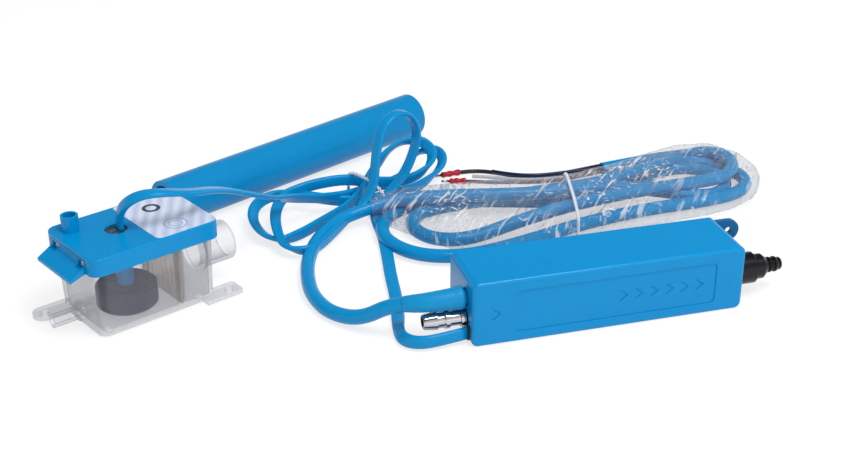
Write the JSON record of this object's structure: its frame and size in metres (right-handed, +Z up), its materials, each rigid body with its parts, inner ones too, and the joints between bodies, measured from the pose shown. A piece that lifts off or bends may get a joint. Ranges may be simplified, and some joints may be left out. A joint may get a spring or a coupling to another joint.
{
  "type": "condensate pump",
  "caption": "Slim condensate pump with inlet and discharge barbs, its clear float-switch tank with a lift-off lid, coiled mains cable, sensor lead and a drain tube.",
  "frame": {"origin": "centre of the pump's underside, on the surface that the set lies on", "axes": "+Z up, +X from the pump's inlet barb to its discharge barb, +Y toward the pump's back plate"},
  "size_m": [0.3829, 0.2549, 0.0614],
  "materials": {
    "blue_plastic": "satin moulded",
    "blue_plastic_dark": "satin moulded",
    "steel": "turned",
    "zinc_steel": "plated sheet",
    "nickel": "polished plating",
    "tin": "tinned",
    "black_plastic": "satin",
    "white_plastic": "satin",
    "rubber": "matt",
    "copper_wire": "enamelled wire",
    "board": "solder mask",
    "blue_rubber": "matt",
    "clear_plastic": "clear moulded",
    "amber_plastic": "clear tinted",
    "slate_plastic": "satin",
    "magnet": "sintered",
    "label": "printed film",
    "potting": "glossy resin",
    "blue_jacket": "extruded jacket",
    "film": "clear film",
    "black_wire": "extruded",
    "brown_wire": "extruded",
    "grey_wire": "extruded",
    "blue_wire": "extruded",
    "red_plastic": "moulded",
    "blue_hose": "extruded"
  },
  "bodies": {
    "root": {"pump_cover": "blue_plastic", "back_plate": "blue_plastic_dark", "housing_screws": "steel", "inlet_barb": "nickel", "inlet_chamber": "black_plastic", "inlet_strainer": "white_plastic", "chamber_o_ring": "rubber", "plunger_tube": "steel", "coil_bobbin": "white_plastic", "coil_winding": "copper_wire", "solenoid_yoke": "zinc_steel", "outlet_block": "black_plastic", "outlet_o_ring": "rubber", "discharge_fitting": "black_plastic", "mount_rings": "rubber", "control_board": "board", "board_components": "black_plastic", "terminal_block": "white_plastic", "thermal_cutout": "black_plastic", "power_cable_boot": "blue_rubber", "sensor_cable_grommet": "rubber", "spring_seat": "steel", "piston_bumper": "rubber", "piston_spring": "steel", "delivery_spring": "steel", "tank": "clear_plastic", "tank_filter": "amber_plastic", "sensor_cable_drop": "blue_jacket", "sensor_cable_hank": "blue_jacket", "sensor_cable_loop": "blue_jacket", "sensor_cable_pump_run": "blue_jacket", "hank_tie": "white_plastic", "power_cable": "blue_jacket", "power_cable_hank": "blue_jacket", "power_cable_tail": "blue_jacket", "cable_bag": "film", "bag_tie": "white_plastic", "wire_black": "black_wire", "wire_brown": "brown_wire", "wire_grey": "grey_wire", "wire_blue": "blue_wire", "crimp_sleeves": "red_plastic", "crimp_pins": "tin", "drain_tube": "blue_hose"},
    "lid": {"tank_lid": "blue_plastic", "lid_seal": "rubber", "lid_label": "label", "lid_potting": "potting", "sensor_stem": "blue_plastic", "sensor_board": "board", "sensor_cable_lid_span": "blue_jacket"},
    "latch": {"lid_latch": "blue_plastic"},
    "float": {"float": "slate_plastic", "float_magnet": "magnet"},
    "piston": {"piston": "steel", "ball_retainer": "steel"},
    "suction_ball": {"suction_ball": "steel"},
    "delivery_valve": {"delivery_valve": "rubber"}
  },
  "joints": [
    {"name": "lid_lift", "type": "slide", "parent": "root", "child": "lid", "axis": [0, 0, 1], "range_m": [0, 0.035]},
    {"name": "latch_flex", "type": "hinge", "parent": "lid", "child": "latch", "pos_m": [-0.22919, 0.05202, 0.03895], "axis": [-0.4112, 0.9115, 0], "range_deg": [0, 10], "stiffness_Nm_per_rad": 0.5},
    {"name": "float_rise", "type": "slide", "parent": "root", "child": "float", "axis": [0, 0, 1], "range_m": [0, 0.01]},
    {"name": "piston_stroke", "type": "slide", "parent": "root", "child": "piston", "axis": [1, 0, 0], "range_m": [0, 0.004], "stiffness_N_per_m": 300, "springref_m": -0.004, "deforming": ["piston_spring"]},
    {"name": "suction_ball_lift", "type": "slide", "parent": "piston", "child": "suction_ball", "axis": [1, 0, 0], "range_m": [0, 0.001]},
    {"name": "delivery_valve_lift", "type": "slide", "parent": "root", "child": "delivery_valve", "axis": [1, 0, 0], "range_m": [0, 0.0015], "stiffness_N_per_m": 100, "springref_m": -0.002, "deforming": ["delivery_spring"]}
  ]
}
